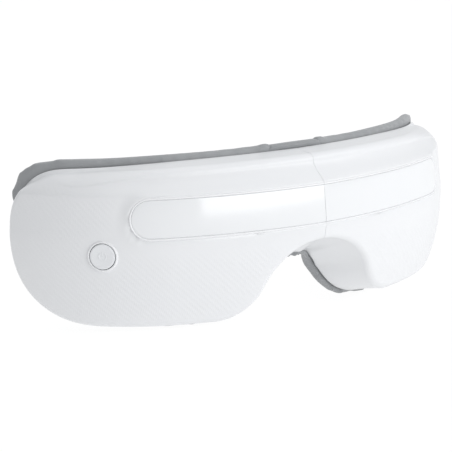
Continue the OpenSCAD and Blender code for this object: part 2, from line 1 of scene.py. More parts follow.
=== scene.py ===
"""Looks of the folding eye massager mask, built over its CAD frame.

Each pod is drawn on an unrolled sheet, as in the CAD: s runs along the front from the seam to
the temple, z runs up from the lower edge of the glossy band, and b runs inward to the face.
Sheet sizes are in millimetres. Everything in the scene is in metres, in the frame of the CAD.
"""
import json
import math
from contextlib import contextmanager

import bmesh
import bpy
import numpy as np
from mathutils import Matrix, Vector


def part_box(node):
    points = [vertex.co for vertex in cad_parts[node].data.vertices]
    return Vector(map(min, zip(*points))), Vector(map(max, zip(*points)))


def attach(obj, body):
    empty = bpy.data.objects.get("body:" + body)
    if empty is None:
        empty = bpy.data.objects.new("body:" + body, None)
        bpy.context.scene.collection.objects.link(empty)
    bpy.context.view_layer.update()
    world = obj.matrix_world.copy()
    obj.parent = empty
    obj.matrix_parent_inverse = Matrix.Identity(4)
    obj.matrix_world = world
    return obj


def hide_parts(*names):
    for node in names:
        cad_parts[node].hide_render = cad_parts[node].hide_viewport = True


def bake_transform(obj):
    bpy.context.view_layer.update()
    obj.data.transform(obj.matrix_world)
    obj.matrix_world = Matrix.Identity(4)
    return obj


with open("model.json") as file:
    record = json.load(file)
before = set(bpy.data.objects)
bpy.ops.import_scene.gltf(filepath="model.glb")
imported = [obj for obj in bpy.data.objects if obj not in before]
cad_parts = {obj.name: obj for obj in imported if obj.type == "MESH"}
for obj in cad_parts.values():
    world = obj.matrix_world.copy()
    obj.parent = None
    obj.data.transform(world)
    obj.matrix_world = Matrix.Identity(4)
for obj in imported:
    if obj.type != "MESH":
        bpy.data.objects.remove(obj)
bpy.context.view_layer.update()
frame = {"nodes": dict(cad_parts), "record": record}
MM = 0.001

# ---- Sizes of the sheet, as in the CAD ----
# Plan of the front: a brow arc, a tighter temple arc, and the turn of each pod at the seam
BROW_R, BROW_ARC, TEMPLE_R = 160.0, 60.0, 81.0
HALF_LEN, SEAM_ANGLE, SEAM_BLEND = 131.3, math.radians(1.6), 40.0
# Outline: top line, lowest line, temple tip, nose arch, and the lobe beside the arch
TOP_Z, TOP_DROP, BOTTOM_Z, TIP_Z = 26.8, 4.0, -35.0, 2.4
ARCH_Z, ARCH_R, LOBE_R = -6.0, 28.0, 22.0
CORNER_POWER = 2.5
LOW_CORNER_S, HIGH_CORNER_S = HALF_LEN - 40, HALF_LEN - 24
ARCH_C = ARCH_Z - ARCH_R
LOBE_Z = BOTTOM_Z + LOBE_R
LOBE_S = math.sqrt((ARCH_R + LOBE_R) ** 2 - (LOBE_Z - ARCH_C) ** 2)
# Rear edge: its depth and tilt, the thinning to the temple, and the cheek chamfer
TOP_DEPTH, REAR_TILT, TEMPLE_TAPER, TAPER_S = 17.6, 0.242, 0.66, 50.0
LOW_FLARE, HIGH_FLARE, SHELL_RELIEF = 2.4, 1.0, 0.6
CHEEK_Z, CHEEK_SLOPE = -22.5, 0.75
ARCH_SINK, DROP_FULL_S, DROP_END_S = 5.6, 16.0, 44.0
# Front: the band with its frame, and how far the face falls back above and below it
BAND_H, BAND_LEN, FRAME_W, FRAME_PROUD = 16.8, 78.9, 1.3, 1.2
BAND_LEAN, BROW_DEPTH, BELLY_DEPTH, BELLY_POWER = 1.4, 6.7, 6.7, 2.4
SPINE_Z = BAND_H / 2
BAND_BEND = BAND_LEN - BAND_H / 2
# Button, seam, hinge and cushion
BUTTON_S, BUTTON_Z, BUTTON_R, RING_R = 89.0, -5.4, 5.0, 5.8
HINGE_Y, SEAM_GAP, PAD_PROUD = 19.0, 0.04, 2.2

# The sheet's origin, read from the frame of the band
band_corner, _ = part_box("right_band_frame")
ORIGIN_Y = band_corner[1] + FRAME_PROUD * MM
ORIGIN_Z = band_corner[2]
RIGHT, LEFT = 1, -1
BODY = {RIGHT: "right_pod", LEFT: "left_pod"}
NAME = {RIGHT: "right", LEFT: "left"}


# ---- The unrolled sheet ----

def heading(s):
    """Direction of the front in plan at s."""
    bend = np.minimum(s, BROW_ARC) / BROW_R + np.maximum(0, s - BROW_ARC) / TEMPLE_R
    return SEAM_ANGLE + bend


def plan_point(s):
    """Place of the front in plan at s, in millimetres from the seam."""
    brow = np.minimum(s, BROW_ARC)
    x = BROW_R * (np.sin(heading(brow)) - math.sin(SEAM_ANGLE))
    y = BROW_R * (math.cos(SEAM_ANGLE) - np.cos(heading(brow)))
    knee = heading(BROW_ARC)
    turn = np.maximum(heading(s), knee)
    x = x + TEMPLE_R * (np.sin(turn) - math.sin(knee))
    y = y + TEMPLE_R * (math.cos(knee) - np.cos(turn))
    return x, y


def on_sheet(s, z, b, side):
    """Points in metres for sheet coordinates in millimetres."""
    s, z, b = np.broadcast_arrays(np.asarray(s, float), z, b)
    x, y = plan_point(s)
    angle = heading(s) - SEAM_ANGLE * np.maximum(0, 1 - s / SEAM_BLEND)
    point = np.stack([side * (x - b * np.sin(angle)), y + b * np.cos(angle), z], axis=-1) * MM
    return point + np.array([0, ORIGIN_Y, ORIGIN_Z])


def superellipse(share):
    """Height of a rounded corner, 1 at its start and 0 at its end."""
    return np.maximum(0, 1 - np.clip(share, 0, None) ** CORNER_POWER) ** (1 / CORNER_POWER)


def top_line(s):
    return TOP_Z - TOP_DROP * (s / HALF_LEN) ** 2


def low_edge(s, t=0.0):
    """Height of the lower outline moved inward by t: nose arch, lobe, flat run and tip."""
    s = np.asarray(s, float)
    arch = ARCH_C + np.sqrt(np.maximum(0, (ARCH_R + t) ** 2 - s ** 2))
    lobe = LOBE_Z - np.sqrt(np.maximum(0, (LOBE_R - t) ** 2 - (LOBE_S - s) ** 2))
    share = (s - LOW_CORNER_S) / (HALF_LEN - t - LOW_CORNER_S)
    tip = TIP_Z - (TIP_Z - BOTTOM_Z - t) * superellipse(share)
    inner = s < (ARCH_R + t) * LOBE_S / (ARCH_R + LOBE_R)
    return np.where(inner, arch, np.where(s < LOBE_S, lobe, tip))


def high_edge(s, t=0.0):
    """Height of the upper outline moved inward by t."""
    share = (s - HIGH_CORNER_S) / (HALF_LEN - t - HIGH_CORNER_S)
    return TIP_Z + (top_line(s) - t - TIP_Z) * superellipse(share)


def rear(s, z):
    """Depth of the rear edge of the shell."""
    cheek = CHEEK_SLOPE * np.maximum(0, CHEEK_Z - z)
    deep = TOP_DEPTH + REAR_TILT * (TOP_Z + HIGH_FLARE - z) - cheek
    taper = 1 - TEMPLE_TAPER * (np.maximum(0, s - TAPER_S) / (HALF_LEN - TAPER_S)) ** 2
    return np.minimum(deep * taper, TOP_DEPTH + SHELL_RELIEF * s)


def arch_drop(s):
    """How far the back rim of the nose arch lies below its front edge, beyond the flare."""
    share = np.clip((s - DROP_FULL_S) / (DROP_END_S - DROP_FULL_S), 0, 1)
    return ARCH_SINK * np.cos(share * math.pi / 2) ** 2


def soft_ramp(x, width):
    """Zero below 0 and x above it, with a rounded knee."""
    return 0.5 * (x + np.sqrt(x * x + width * width)) - 0.5 * width * np.exp(-np.abs(x) / width)


def face(s, z, knee=0.01):
    """Depth of the front surface; knee is the width in mm over which its bends are rounded."""
    lean = BAND_LEAN / BAND_H * (soft_ramp(z, knee) - soft_ramp(z - BAND_H, knee))
    share = soft_ramp(z - BAND_H, knee) / np.maximum(4.0, top_line(s) - BAND_H)
    brow = BROW_DEPTH * share ** (1 + 0.5 * smooth(70, 95, s))
    belly = BELLY_DEPTH * (np.minimum(z, 0) / BOTTOM_Z) ** BELLY_POWER
    return lean + brow + belly


def smooth(edge0, edge1, x):
    """A soft step from 0 at edge0 to 1 at edge1."""
    t = np.clip((x - edge0) / (edge1 - edge0), 0, 1)
    return t * t * (3 - 2 * t)


# ---- Mesh helpers ----

def new_object(name, points, faces, side_or_body, materials):
    """A smooth-shaded mesh that rides on a pod or on another body."""
    mesh = bpy.data.meshes.new(name)
    mesh.from_pydata([tuple(p) for p in points], [], faces)
    mesh.validate()
    for polygon in mesh.polygons:
        polygon.use_smooth = True
    obj = bpy.data.objects.new(name, mesh)
    bpy.context.scene.collection.objects.link(obj)
    for material in materials:
        mesh.materials.append(material)
    if side_or_body is not None:
        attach(obj, BODY.get(side_or_body, side_or_body))
    return obj


def grid_faces(rows, columns, wrap_rows=False, wrap_columns=False):
    """Four-sided faces between the points of a grid stored row by row."""
    faces = []
    for i in range(rows if wrap_rows else rows - 1):
        for j in range(columns if wrap_columns else columns - 1):
            i2, j2 = (i + 1) % rows, (j + 1) % columns
            faces.append((i * columns + j, i * columns + j2, i2 * columns + j2, i2 * columns + j))
    return faces


def add_sheet_attribute(obj, values):
    """Stores (s, z, mask) in millimetres on the points, for the materials."""
    attribute = obj.data.attributes.new("sheet", "FLOAT_VECTOR", "POINT")
    attribute.data.foreach_set("vector", np.asarray(values, np.float32).ravel())


@contextmanager
def editing(obj):
    """The object's mesh opened for editing, and written back at the end."""
    bm = bmesh.new()
    bm.from_mesh(obj.data)
    yield bm
    bm.to_mesh(obj.data)
    bm.free()


SHARP_ANGLE = math.radians(42)


def sharpen(bm):
    """Keeps the shading of the two sides of every sharp edge apart."""
    for edge in bm.edges:
        if edge.calc_face_angle(0.0) > SHARP_ANGLE:
            edge.smooth = False


def tidy(obj, merge=1e-6):
    """Joins doubled points, turns all the faces outward and marks the sharp edges."""
    with editing(obj) as bm:
        bmesh.ops.remove_doubles(bm, verts=bm.verts, dist=merge)
        bmesh.ops.recalc_face_normals(bm, faces=bm.faces)
        sharpen(bm)


# ---- Materials ----

def new_material(name, colour, rough, metal=0.0, coat=0.0, specular=0.5):
    """A material with its nodes, its links and its shader."""
    material = bpy.data.materials.new(name)
    material.use_nodes = True
    nodes, links = material.node_tree.nodes, material.node_tree.links
    shader = nodes["Principled BSDF"]
    shader.inputs["Base Color"].default_value = (*colour, 1)
    shader.inputs["Roughness"].default_value = rough
    shader.inputs["Metallic"].default_value = metal
    shader.inputs["Coat Weight"].default_value = coat
    shader.inputs["Coat Roughness"].default_value = 0.08
    shader.inputs["Specular IOR Level"].default_value = specular
    return material, nodes, links, shader


def node(nodes, kind, **inputs):
    """A new node; keys that match an input set its value, the others set a property."""
    made = nodes.new(kind)
    for key, value in inputs.items():
        if key in made.inputs:
            made.inputs[key].default_value = value
        else:
            setattr(made, key, value)
    return made


def maths(nodes, links, operation, first, second=None, clamp=False):
    """The output of a maths node fed by numbers or by other outputs."""
    made = nodes.new("ShaderNodeMath")
    made.operation = operation
    made.use_clamp = clamp
    for slot, value in enumerate([first, second]):
        if value is None:
            continue
        if isinstance(value, (int, float)):
            made.inputs[slot].default_value = value
        else:
            links.new(value, made.inputs[slot])
    return made.outputs[0]


def vary(nodes, links, shader, low, high, rough_low, rough_high, scale):
    """Slow changes of colour and of gloss, driven by noise at the given scale per metre."""
    place = nodes.new("ShaderNodeTexCoord").outputs["Object"]
    noise = node(nodes, "ShaderNodeTexNoise", Scale=scale, Detail=4.0)
    links.new(place, noise.inputs["Vector"])
    ramp = nodes.new("ShaderNodeValToRGB")
    ramp.color_ramp.elements[0].color = (*low, 1)
    ramp.color_ramp.elements[1].color = (*high, 1)
    ramp.color_ramp.elements[0].position = 0.3
    ramp.color_ramp.elements[1].position = 0.7
    links.new(noise.outputs["Fac"], ramp.inputs["Fac"])
    links.new(ramp.outputs["Color"], shader.inputs["Base Color"])
    gloss = node(nodes, "ShaderNodeMapRange")
    gloss.inputs["To Min"].default_value = rough_low
    gloss.inputs["To Max"].default_value = rough_high
    links.new(noise.outputs["Fac"], gloss.inputs["Value"])
    links.new(gloss.outputs["Result"], shader.inputs["Roughness"])
    return place


def grain(nodes, links, shader, place, scale, height, kind="ShaderNodeTexNoise", before=None):
    """Fine bump from noise or cells; before is an earlier bump's normal."""
    texture = node(nodes, kind, Scale=scale)
    links.new(place, texture.inputs["Vector"])
    out = texture.outputs["Distance" if kind == "ShaderNodeTexVoronoi" else "Fac"]
    bump = node(nodes, "ShaderNodeBump", Strength=1.0, Distance=height)
    links.new(out, bump.inputs["Height"])
    if before is not None:
        links.new(before, bump.inputs["Normal"])
    links.new(bump.outputs["Normal"], shader.inputs["Normal"])
    return bump.outputs["Normal"]


def plastic(name, colour, rough=0.35, scale=60.0, height=0.00002, change=0.03, coat=0.0, metal=0.0):
    """Moulded plastic, or metal, with slight mottling and a fine skin."""
    material, nodes, links, shader = new_material(name, colour, rough, metal, coat)
    low = [max(0, c - change) for c in colour]
    high = [min(1, c + change) for c in colour]
    place = vary(nodes, links, shader, low, high, rough - 0.05, rough + 0.06, scale)
    grain(nodes, links, shader, place, 1800.0, height)
    return material


# Twill: length and width of a thread in millimetres of the sheet, and its height in metres
TWILL_PITCH = 2.6
TWILL_CELL = 0.65
TWILL_HEIGHT = 0.000035
SHELL_LOW, SHELL_MID, SHELL_HIGH = (0.825, 0.835, 0.85), (0.83, 0.838, 0.85), (0.84, 0.848, 0.86)


def shell_material():
    """White lacquered plastic with an embossed twill that fades out towards smooth places."""
    material, nodes, links, shader = new_material("shell_plastic", SHELL_MID, 0.30, coat=0.25)
    place = vary(nodes, links, shader, SHELL_LOW, SHELL_HIGH, 0.27, 0.33, 18.0)
    sheet = node(nodes, "ShaderNodeAttribute", attribute_name="sheet")
    split = nodes.new("ShaderNodeSeparateXYZ")
    links.new(sheet.outputs["Vector"], split.inputs[0])
    s, z, mask = split.outputs
    across = maths(nodes, links, "DIVIDE", maths(nodes, links, "MULTIPLY", s, -1.0), TWILL_CELL)
    column = maths(nodes, links, "FLOOR", across)
    within = maths(nodes, links, "SUBTRACT", across, column)
    shift = maths(nodes, links, "MULTIPLY", column, TWILL_CELL)
    run = maths(nodes, links, "DIVIDE", maths(nodes, links, "SUBTRACT", z, shift), TWILL_PITCH)
    wave = maths(nodes, links, "COSINE", maths(nodes, links, "MULTIPLY", run, 2 * math.pi))
    step = maths(nodes, links, "ADD", maths(nodes, links, "MULTIPLY", wave, 2.2), 0.5, clamp=True)
    crown = maths(nodes, links, "SINE", maths(nodes, links, "MULTIPLY", within, math.pi))
    crown = maths(nodes, links, "POWER", crown, 0.35)
    thread = maths(nodes, links, "MULTIPLY", step, crown)
    height = maths(nodes, links, "MULTIPLY", thread, mask)
    bump = node(nodes, "ShaderNodeBump", Strength=1.0, Distance=TWILL_HEIGHT)
    links.new(height, bump.inputs["Height"])
    grain(nodes, links, shader, place, 2500.0, 0.000008, before=bump.outputs["Normal"])
    return material


def leather_material(name, low, high):
    """Soft grey leather-like fabric with a pebbled skin and gentle creases."""
    material, nodes, links, shader = new_material(name, low, 0.55)
    shader.inputs["Sheen Weight"].default_value = 0.25
    shader.inputs["Sheen Roughness"].default_value = 0.5
    place = vary(nodes, links, shader, low, high, 0.50, 0.64, 45.0)
    creases = node(nodes, "ShaderNodeTexNoise", Scale=130.0, Detail=3.0, Distortion=0.6)
    links.new(place, creases.inputs["Vector"])
    bump = node(nodes, "ShaderNodeBump", Strength=0.4, Distance=0.0003)
    links.new(creases.outputs["Fac"], bump.inputs["Height"])
    grain(nodes, links, shader, place, 1800.0, 0.00003, "ShaderNodeTexVoronoi", bump.outputs["Normal"])
    return material


def weave_material(name, low, high):
    """Dark breathable cloth of the eye covers, with a fine knit."""
    material, nodes, links, shader = new_material(name, low, 0.8)
    shader.inputs["Sheen Weight"].default_value = 0.5
    place = vary(nodes, links, shader, low, high, 0.75, 0.9, 60.0)
    bumps = []
    for axis in ("X", "Z"):
        wave = node(nodes, "ShaderNodeTexWave", Scale=260.0, bands_direction=axis, Distortion=0.4)
        links.new(place, wave.inputs["Vector"])
        bumps.append(wave.outputs["Fac"])
    height = maths(nodes, links, "MULTIPLY", bumps[0], bumps[1])
    bump = node(nodes, "ShaderNodeBump", Strength=0.8, Distance=0.0002)
    links.new(height, bump.inputs["Height"])
    links.new(bump.outputs["Normal"], shader.inputs["Normal"])
    return material


def board_material():
    """Green circuit board with faint copper tracks."""
    material, nodes, links, shader = new_material("circuit_board", (0.02, 0.16, 0.07), 0.4, coat=0.4)
    place = nodes.new("ShaderNodeTexCoord").outputs["Object"]
    tracks = node(nodes, "ShaderNodeTexBrick", Scale=160.0)
    tracks.inputs["Color1"].default_value = (0.015, 0.15, 0.06, 1)
    tracks.inputs["Color2"].default_value = (0.02, 0.19, 0.08, 1)
    tracks.inputs["Mortar"].default_value = (0.06, 0.30, 0.12, 1)
    links.new(place, tracks.inputs["Vector"])
    links.new(tracks.outputs["Color"], shader.inputs["Base Color"])
    grain(nodes, links, shader, place, 1500.0, 0.00002)
    return material


WHITE_SHELL = shell_material()
BAND_GLOSS = plastic("band_gloss", (0.84, 0.852, 0.865), 0.12, 12.0, 0.000002, 0.01, coat=0.9)
RIM_WHITE = plastic("rim_white", (0.865, 0.872, 0.885), 0.22, 30.0, 0.000004, 0.01, coat=0.3)
BUTTON_WHITE = plastic("button_white", (0.82, 0.832, 0.85), 0.30, 30.0, 0.000008, 0.01, coat=0.2)
PAD_GREY = leather_material("pad_leather", (0.30, 0.31, 0.32), (0.345, 0.355, 0.365))
SKIN_GREY = leather_material("bridge_skin", (0.27, 0.28, 0.29), (0.33, 0.34, 0.35))
COVER_CLOTH = weave_material("eye_cover_cloth", (0.10, 0.105, 0.115), (0.14, 0.145, 0.155))
DARK_PLASTIC = plastic("dark_plastic", (0.06, 0.062, 0.068), 0.45, 60.0, 0.00004)
STEEL = plastic("steel", (0.62, 0.63, 0.65), 0.30, 150.0, 0.00001, 0.05, metal=1.0)
BRASS = plastic("brass", (0.60, 0.45, 0.20), 0.30, 150.0, 0.00001, 0.05, metal=1.0)
CLEAR_GREY = plastic("bag_film", (0.45, 0.47, 0.50), 0.30, 40.0, 0.00003, 0.03)
HEATER_FOIL = plastic("heater_foil", (0.50, 0.24, 0.06), 0.35, 90.0, 0.00002, 0.04)
BATTERY_WRAP = plastic("battery_wrap", (0.20, 0.30, 0.42), 0.35, 40.0, 0.00003, 0.03)
TUBE_RUBBER = plastic("tube_rubber", (0.55, 0.57, 0.60), 0.4, 60.0, 0.00003, 0.04)
WHITE_NYLON = plastic("white_nylon", (0.72, 0.72, 0.70), 0.4, 60.0, 0.00002, 0.03)
BOARD_GREEN = board_material()

CAD_FINISH = {
    "housing": DARK_PLASTIC, "airbag": CLEAR_GREY, "heater": HEATER_FOIL, "screws": STEEL,
    "hinge": STEEL, "dark_plastic": DARK_PLASTIC, "plunger": WHITE_NYLON, "board": BOARD_GREEN,
    "port": STEEL, "motor": STEEL, "weight": BRASS, "tube": TUBE_RUBBER, "battery": BATTERY_WRAP,
    "shell": WHITE_SHELL, "band": BAND_GLOSS, "cushion": PAD_GREY, "eye_cover": COVER_CLOTH,
    "button": BUTTON_WHITE,
}


def finish_cad_nodes():
    """Gives every carried-over CAD node the material of its slot."""
    for item in frame["record"]["subparts"]:
        obj = frame["nodes"][item["node"]]
        material = CAD_FINISH[item["material_slot"]]
        if not obj.data.materials:
            obj.data.materials.append(material)
        for index in range(len(obj.data.materials)):
            obj.data.materials[index] = material


# ---- Shell ----

# Radius of the front edge beside the band, along the bottom, and over the band
EDGE_R, LOW_EDGE_R, LIP_R = 5.0, 2.4, 1.5
# The sharp lip fades in over LIP_Z along the outline and fades out over LIP_S
LIP_Z, LIP_S = (4.0, 17.0), (60, 118)
# Cove under the sharp lip over the band, and the fillet that rises to the band's frame
COVE_DEPTH, COVE_START, COVE_FULL, COVE_FALL = 1.1, LIP_R, 3.6, 4.4
FILLET_RISE, FILLET_W, FILLET_END = 0.95, 4.8, -1.5
BAND_RECESS, RECESS_EDGE = 1.0, (-0.2, -1.4)
# Bevel of the seam edge, how far it reaches along s, and the rounding of the face's bends
BEVEL, BEVEL_W, KNEE = 0.14, 0.5, 2.2
# Rim: width of its flat end, height of its inner step, and the least wall behind the rounding
RIM_IN, RIM_STEP, LEAST_WALL = 2.2, 3.5, 1.2
# Rows follow the outline up to NEAR, then close in on a spine that ends at SPINE_END
NEAR, SPINE_END = 9.0, 120.0
HALF_COLUMNS, DENSE_S = 230, (0, 0.12, 0.25, 0.4, 0.7, 1.1)
SEAM_S = 1.5
RIM_ROWS, WALL_ROWS, ROUND_ROWS, FACE_ROWS, SPINE_ROWS = 5, 12, 10, 15, 18
FIRST_FACING = RIM_ROWS + WALL_ROWS
# The twill fades in over rows, and over distances from the band, the button and the top line
FIRST_TWILL, TWILL_FADE_ROWS = FIRST_FACING + ROUND_ROWS // 2, 12.0
TWILL_OFF_BAND, TWILL_BAND_FADE = 4.5, 6.0
TWILL_OFF_BUTTON, TWILL_OFF_TOP = (6.6, 12.0), (8.5, 10.5)
# Notch in the seam wall for the hinge barrel
NOTCH_LOW, NOTCH_HIGH = 7.0, 24.0
# Hole for the button's ring: its radius, and how near a point is moved onto its edge
HOLE_R, HOLE_SNAP, HOLE_REACH = (RING_R - 0.25) * MM, 0.32 * MM, 3 * MM


def outline_half(upper, count=3000):
    """Fine points of the lower or upper outline from the seam to the tip."""
    turn = np.linspace(0, 1, count)
    s = SEAM_GAP + (HALF_LEN - SEAM_GAP) * np.sin(turn * math.pi / 2)
    z = high_edge(s) if upper else low_edge(s)
    z[-1] = TIP_Z
    return s, z


def columns_of(upper):
    """Outline points and inward normals for the shared stations of the spine."""
    s, z = outline_half(upper)
    arc = np.concatenate([[0], np.cumsum(np.hypot(np.diff(s), np.diff(z)))])
    spine_at = SPINE_END * (0.5 * arc / arc[-1] + 0.5 * s / HALF_LEN)
    k = np.linspace(0, 1, HALF_COLUMNS)
    dense = np.array(DENSE_S) / SPINE_END
    k = np.concatenate([dense, k[k > SEAM_S / SPINE_END]])
    spine = SEAM_GAP + (SPINE_END - SEAM_GAP) * k
    spine[-1] = SPINE_END
    s_out = np.interp(spine, spine_at, s)
    z_out = np.interp(spine, spine_at, z)
    s_out[0] = SEAM_GAP
    s_out[-1], z_out[-1] = HALF_LEN, TIP_Z
    near = spine < SEAM_S
    s_out[near] = spine[near]
    z_out[near] = (high_edge if upper else low_edge)(spine[near])
    ds, dz = np.gradient(s_out), np.gradient(z_out)
    length = np.hypot(ds, dz)
    way = -1 if upper else 1
    ns, nz = -dz / length * way, ds / length * way
    ns[near] = 0
    nz[near] = way
    ns[-1], nz[-1] = -1, 0
    return s_out, z_out, ns, nz, spine


def band_distance(s, z):
    """Distance outside the band's stadium, negative inside."""
    return np.hypot(np.maximum(0, s - BAND_BEND), z - SPINE_Z) - BAND_H / 2


def half_shell(upper):
    """Rows from the inner rim over the wall, the rounding and the face down to the spine."""
    s0, z0, ns, nz, spine = columns_of(upper)
    shown = smooth(*LIP_Z, z0) * (1 - smooth(*LIP_S, s0)) if upper else np.zeros_like(z0)
    tip_mix = smooth(LOW_CORNER_S, HALF_LEN, s0)
    radius = EDGE_R + (LIP_R - EDGE_R) * shown if upper else np.full_like(s0, LOW_EDGE_R)
    radius = radius + (LOW_EDGE_R - radius) * tip_mix
    flare = np.full_like(s0, HIGH_FLARE if upper else LOW_FLARE)
    flare = flare + ((LOW_FLARE + HIGH_FLARE) / 2 - flare) * tip_mix
    bevel = BEVEL * np.maximum(0, 1 - (s0 - SEAM_GAP) / BEVEL_W) ** 2
    sink = np.zeros_like(s0) if upper else arch_drop(s0)
    rim_z = z0 - nz * flare - sink
    back = rear(s0, z0) if upper else np.minimum(rear(s0, z0), rear(s0, rim_z))
    front = face(s0, z0, KNEE)
    radius = np.minimum(radius, back - front - LEAST_WALL)
    rows = []

    def moved(offset):
        """The outline moved inward by offset, held on its own side of the seam."""
        return np.maximum(SEAM_GAP, s0 + ns * offset), z0 + nz * offset

    def add_row(offset, depth, lower=0.0):
        s_at, z_at = moved(offset)
        rows.append((s_at, z_at - lower * sink, depth))

    # Flat end of the rim, with small bevels
    add_row(-flare + RIM_IN, back - RIM_STEP, 0.8)
    add_row(-flare + RIM_IN, back - 0.2, 1.0)
    add_row(-flare + RIM_IN - 0.25, back, 1.0)
    add_row(-flare + 0.45, back, 1.0)
    add_row(-flare + 0.12 + bevel, back - 0.13, 1.0)
    # Outer wall, curving in from the flare
    wall_start, wall_end = front + radius, back - 0.4
    for t in np.linspace(0.02, 1, WALL_ROWS):
        wide = flare * (1 - t) ** 1.3
        add_row(-wide + bevel, wall_end + (wall_start - wall_end) * t, (1 - t) ** 1.1)
    # Rounded front edge
    for turn in np.linspace(9, 90, ROUND_ROWS):
        c, q = math.cos(math.radians(turn)), math.sin(math.radians(turn))
        offset = radius * (1 - c) + bevel * c
        add_row(offset, face(*moved(offset), KNEE) + radius * (1 - q) + bevel * q)
    # Face beside the outline
    for t in np.linspace(0.07, 1, FACE_ROWS):
        offset = radius + (NEAR - radius) * t
        cove = smooth(COVE_START, COVE_FULL, offset) * (1 - smooth(COVE_FALL, NEAR - 0.2, offset))
        add_row(offset, face(*moved(offset), KNEE) + COVE_DEPTH * shown * cove + bevel)
    # Face between those rows and the spine, in curves that leave the outline squarely
    s_near, z_near, _ = rows[-1]
    spine_z = SPINE_Z + (TIP_Z - SPINE_Z) * smooth(BAND_LEN, SPINE_END, spine)
    pull = 0.35 * np.hypot(spine - s_near, spine_z - z_near)
    for t in np.linspace(0, 1, SPINE_ROWS + 1)[1:]:
        a, b, c = (1 - t) ** 2, 2 * t * (1 - t), t * t
        s_at = a * s_near + b * (s_near + ns * pull) + c * spine
        z_at = a * z_near + b * (z_near + nz * pull) + c * spine_z
        rows.append((np.maximum(SEAM_GAP, s_at), z_at, face(s_at, z_at, KNEE) + bevel))
    s, z, b = (np.array(part) for part in zip(*rows))
    b = b + around_band(s, z)
    mask = twill_mask(s, z)
    if upper:
        below_top = np.where(shown > 0.2, top_line(s) - z, 20)
        mask = mask * smooth(*TWILL_OFF_TOP, below_top)
    return s, z, b, mask


def around_band(s, z):
    """Depth added to the face: a fillet that rises to the frame and a recess under the band."""
    away = band_distance(s, z)
    facing = np.zeros_like(s)
    facing[FIRST_FACING:] = 1
    fillet = FILLET_RISE * np.clip(1 - away / FILLET_W, 0, 1) ** 2
    recess = BAND_RECESS * smooth(*RECESS_EDGE, away)
    return facing * (recess - np.where(away > FILLET_END, fillet, 0))


def twill_mask(s, z):
    """Strength of the twill: none on the wall, beside the band and around the button."""
    rows = np.arange(len(s))[:, None]
    inside = np.clip((rows - FIRST_TWILL) / TWILL_FADE_ROWS, 0, 1)
    off_band = np.clip((band_distance(s, z) - TWILL_OFF_BAND) / TWILL_BAND_FADE, 0, 1)
    off_button = smooth(*TWILL_OFF_BUTTON, np.hypot(s - BUTTON_S, z - BUTTON_Z))
    return inside * off_band * off_button


def seam_corners(side):
    """Corners of the notch that the seam wall leaves for the hinge barrel."""
    wall_y, notch_y = TOP_DEPTH - 0.4, HINGE_Y - 3.4
    corners = [(NOTCH_HIGH, wall_y), (NOTCH_HIGH, notch_y), (NOTCH_LOW, notch_y), (NOTCH_LOW, wall_y)]
    return [on_sheet(SEAM_GAP, height, depth, side) for height, depth in corners]


def shell(side):
    """Front shell of a pod: a lower and an upper half that meet on the spine, and the seam wall."""
    points, sheet, faces, seam_edges = [], [], [], []
    for upper in (False, True):
        s, z, b, mask = half_shell(upper)
        rows, columns = s.shape
        base = sum(len(p) for p in points)
        points.append(on_sheet(s, z, b, side).reshape(-1, 3))
        sheet.append(np.stack([side * s, z, mask], axis=-1).reshape(-1, 3))
        faces += [tuple(base + v for v in f) for f in grid_faces(rows, columns)]
        seam_edges.append([base + i * columns for i in range(RIM_ROWS - 1, rows)])
    corners = seam_corners(side)
    start = sum(len(p) for p in points)
    seam = seam_edges[0] + seam_edges[1][::-1][1:]
    faces.append(tuple(seam + [start + i for i in range(len(corners))]))
    points = np.vstack(points + [corners])
    sheet = np.vstack(sheet + [np.zeros((len(corners), 3))])
    obj = new_object(f"{NAME[side]}_shell_skin", points, faces, side, [WHITE_SHELL])
    add_sheet_attribute(obj, sheet)
    with editing(obj) as bm:
        bmesh.ops.remove_doubles(bm, verts=bm.verts, dist=2e-6)
        bmesh.ops.triangulate(bm, faces=[f for f in bm.faces if len(f.verts) > 6])
        if side == LEFT:
            cut_button_hole(bm, side)
        bmesh.ops.recalc_face_normals(bm, faces=bm.faces)
    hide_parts(f"{NAME[side]}_front_shell")


def cut_button_hole(bm, side):
    """Snaps the mesh to a circle around the button and takes out what is inside."""
    centre = Vector(on_sheet(BUTTON_S, BUTTON_Z, 0.0, side))
    outward = Vector(on_sheet(BUTTON_S, BUTTON_Z, -1.0, side)) - centre
    outward.normalize()

    def radial(v):
        """The point's offset from the button's axis, and whether it lies on the front."""
        flat = v.co - centre
        height = flat.dot(outward)
        return flat - outward * height, abs(height) < HOLE_REACH

    close = {v for v in bm.verts if radial(v)[1] and radial(v)[0].length < 1.5 * HOLE_R}
    edges = [e for e in bm.edges if e.verts[0] in close and e.verts[1] in close]
    bmesh.ops.subdivide_edges(bm, edges=edges, cuts=3, use_grid_fill=True)
    inside = set()
    for v in bm.verts:
        flat, level = radial(v)
        if not level or flat.length > HOLE_R + HOLE_SNAP:
            continue
        if flat.length > HOLE_R - HOLE_SNAP:
            v.co += flat.normalized() * (HOLE_R - flat.length)
        else:
            inside.add(v)
    bmesh.ops.delete(bm, geom=list(inside), context="VERTS")


# ---- Band and its frame ----

def stadium(radius, steps=40, runs=80):
    """Points and outward directions of the band's outline at a distance from its middle line."""
    run = np.linspace(SEAM_GAP, BAND_BEND, runs)[:-1]
    turn = np.linspace(-math.pi / 2, math.pi / 2, steps)
    low = [(s, SPINE_Z - radius, 0, -1) for s in run]
    end = []
    for a in turn:
        c, q = math.cos(a), math.sin(a)
        end.append((BAND_BEND + radius * c, SPINE_Z + radius * q, c, q))
    high = [(s, SPINE_Z + radius, 0, 1) for s in run[::-1]]
    return np.array(low + end + high)


